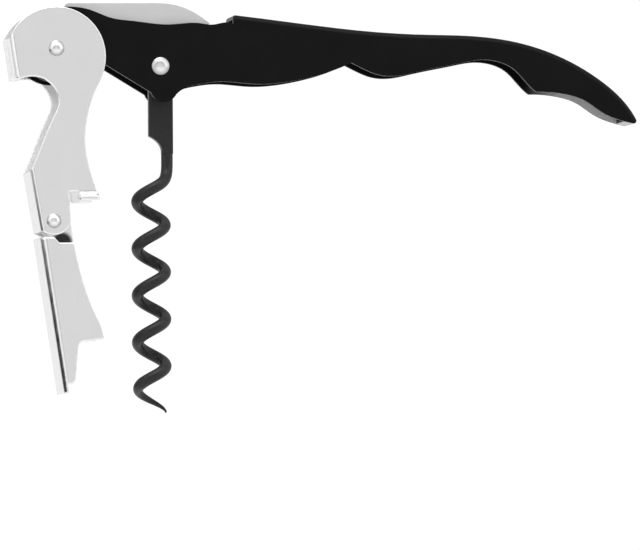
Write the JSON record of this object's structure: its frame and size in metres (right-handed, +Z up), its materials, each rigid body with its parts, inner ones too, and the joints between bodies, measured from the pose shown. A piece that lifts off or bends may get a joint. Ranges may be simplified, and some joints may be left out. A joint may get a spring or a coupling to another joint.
{
  "type": "lever corkscrew",
  "caption": "Double-hinged lever corkscrew with a black channel handle, two-step folding lever with cap lifter, pivoting worm and folding foil cutter.",
  "frame": {"origin": "palm point of the handle, on the mid-plane, 66 mm behind the head rivet", "axes": "+X along the handle towards its tail, +Y across it away from the side seen first, +Z up with the worm hanging down"},
  "size_m": [0.1297, 0.017, 0.0839],
  "materials": {
    "black_paint": "satin black enamel, bare steel inside the channel",
    "plated_steel": "satin nickel plate with bright rolled edges",
    "rivet_steel": "bright plated",
    "worm_coating": "dark grey non-stick coating",
    "blade_steel": "fine ground",
    "washer_steel": "plain"
  },
  "bodies": {
    "handle": {"handle_channel": "black_paint", "head_rivet": "rivet_steel", "worm_rivet": "rivet_steel", "lever_washer_near": "washer_steel", "lever_washer_far": "washer_steel", "knife_spacer_near": "washer_steel", "knife_spacer_far": "washer_steel", "worm_spacer_near": "washer_steel", "worm_spacer_far": "washer_steel"},
    "lever": {"lever_upper_arm": "plated_steel", "joint_rivet": "rivet_steel"},
    "rim_arm": {"lever_lower_arm": "plated_steel", "joint_spacer": "washer_steel"},
    "worm": {"worm": "worm_coating"},
    "knife": {"knife_blade": "blade_steel"}
  },
  "joints": [
    {"name": "lever_pivot", "type": "hinge", "parent": "handle", "child": "lever", "pos_m": [-0.066, 0, 0.001], "axis": [0, 1, 0], "range_deg": [-73, 30]},
    {"name": "rim_arm_pivot", "type": "hinge", "parent": "lever", "child": "rim_arm", "pos_m": [-0.0667, 0, -0.0342], "axis": [0, 1, 0], "range_deg": [-10, 12]},
    {"name": "worm_pivot", "type": "hinge", "parent": "handle", "child": "worm", "pos_m": [-0.0444, 0, -0.0025], "axis": [0, 1, 0], "range_deg": [-90, 37]},
    {"name": "knife_pivot", "type": "hinge", "parent": "handle", "child": "knife", "pos_m": [-0.066, 0, 0.001], "axis": [0, 1, 0], "range_deg": [-165, 0]}
  ],
  "couplings": [
    {"joint": "worm_pivot", "follows": "lever_pivot", "ratio": 1.2328}
  ]
}
